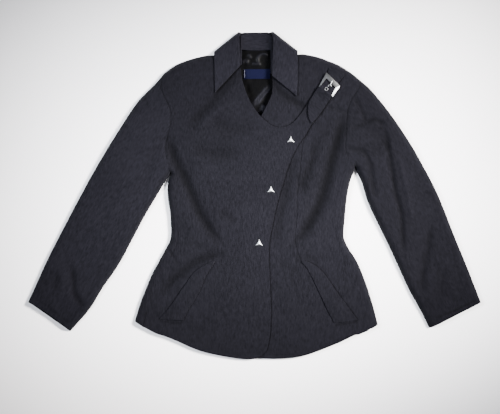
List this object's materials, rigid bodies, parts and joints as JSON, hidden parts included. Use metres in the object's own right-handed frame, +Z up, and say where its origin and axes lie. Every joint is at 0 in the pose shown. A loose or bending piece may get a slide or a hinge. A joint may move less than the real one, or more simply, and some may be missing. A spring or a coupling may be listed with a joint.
{
  "type": "blazer",
  "caption": "Fitted blazer laid flat on its back, sleeves spread, with a slanting wrap front, pointed shirt-style collar, buckled shoulder strap and small snap fasteners.",
  "frame": {"origin": "middle of the garment's outline on the surface it lies on", "axes": "+X towards the wearer's left sleeve, +Y towards the collar, +Z up from the surface"},
  "size_m": [0.9674, 0.6989, 0.0301],
  "materials": {
    "suiting": "matte",
    "lining": "satin",
    "label": "matte",
    "metal": "polished"
  },
  "bodies": {
    "root": {"back": "suiting", "front_right_center": "suiting", "front_right_side": "suiting", "side_right": "suiting", "front_left_center": "suiting", "front_left_side": "suiting", "side_left": "suiting", "sleeve_right_top": "suiting", "sleeve_right_under": "suiting", "sleeve_left_top": "suiting", "sleeve_left_under": "suiting", "collar_fall": "suiting", "collar_stand": "suiting", "lining_back": "lining", "neck_label": "label", "pocket_welt_right": "suiting", "pocket_welt_left": "suiting", "shoulder_strap": "suiting", "buckle_tab": "suiting", "buckle_frame": "metal", "buckle_prong": "metal", "eyelet_fastened": "metal", "eyelet_free": "metal", "snap_upper": "metal", "snap_middle": "metal", "snap_lower": "metal"}
  },
  "joints": []
}
